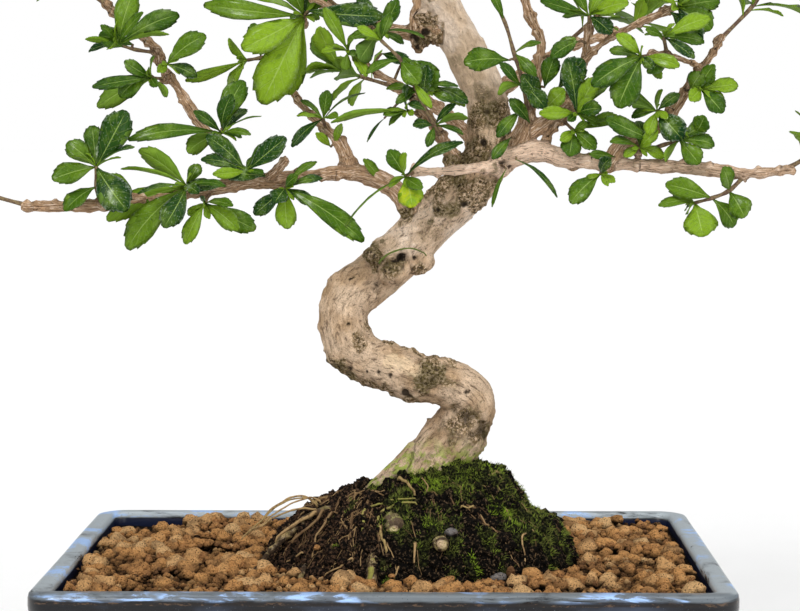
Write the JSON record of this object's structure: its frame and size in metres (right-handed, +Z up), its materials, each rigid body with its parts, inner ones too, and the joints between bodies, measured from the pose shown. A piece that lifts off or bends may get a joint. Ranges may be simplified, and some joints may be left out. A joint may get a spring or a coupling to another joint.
{
  "type": "fukien tea bonsai",
  "caption": "Fukien tea bonsai with an S-curved trunk, roots over a mossy mound and sprays of small toothed leaves, in a glazed rectangular pot filled with clay granules.",
  "frame": {"origin": "on the ground, under the middle of the pot and of the whole plant", "axes": "+Z up, -Y towards the viewer of the front, +X to the right, along the long side of the pot"},
  "size_m": [0.3796, 0.2663, 0.4907],
  "materials": {
    "glaze": "dark navy gloss glaze with a pale streaked rim",
    "screen_plastic": "coarse black mesh",
    "fired_clay": "matt unglazed granules",
    "peat_and_moss": "damp peat with moss and fine roots",
    "bark": "finely fissured bark",
    "leaf": "glossy leaf"
  },
  "bodies": {
    "root": {"pot": "glaze", "drain_screen_left": "screen_plastic", "drain_screen_right": "screen_plastic", "soil_granules": "fired_clay", "root_mound": "peat_and_moss", "trunk_and_branches": "bark", "shoot_apex": "leaf", "shoot_back_left_mid": "leaf", "shoot_back_left_tip": "leaf", "shoot_back_low_tip": "leaf", "shoot_back_mid": "leaf", "shoot_back_right_mid": "leaf", "shoot_back_right_tip": "leaf", "shoot_back_tip": "leaf", "shoot_dark_shoot": "leaf", "shoot_far_left_tip": "leaf", "shoot_far_right_tip": "leaf", "shoot_fork_shoot": "leaf", "shoot_front_mid": "leaf", "shoot_front_tip": "leaf", "shoot_inner_bud_leaf": "leaf", "shoot_inner_left_bud": "leaf", "shoot_inner_left_knot": "leaf", "shoot_inner_mid": "leaf", "shoot_left_bud_left": "leaf", "shoot_left_bud_right": "leaf", "shoot_left_end_top": "leaf", "shoot_left_far": "leaf", "shoot_left_fork": "leaf", "shoot_left_inner": "leaf", "shoot_left_knob": "leaf", "shoot_left_mid_low": "leaf", "shoot_left_mid_top": "leaf", "shoot_left_shelf_mid": "leaf", "shoot_left_shelf_tip": "leaf", "shoot_pink_tip": "leaf", "shoot_right_dark_twig": "leaf", "shoot_right_drop": "leaf", "shoot_right_hang_leaf": "leaf", "shoot_right_knob": "leaf", "shoot_right_shelf_mid": "leaf", "shoot_right_shelf_tip": "leaf", "shoot_right_spur": "leaf", "shoot_right_twig_tip": "leaf", "shoot_right_upright": "leaf", "shoot_second_bud": "leaf", "shoot_second_low": "leaf", "shoot_second_side": "leaf", "shoot_side_bud_left": "leaf", "shoot_stub_down": "leaf", "shoot_stub_up": "leaf", "shoot_top_back_tip": "leaf", "shoot_top_front_tip": "leaf", "shoot_top_left_tip": "leaf", "shoot_top_right_tip": "leaf", "shoot_upper_left_hidden": "leaf", "shoot_upper_left_rosette": "leaf", "shoot_upper_left_tip": "leaf", "shoot_upper_right_tip": "leaf"}
  },
  "joints": []
}
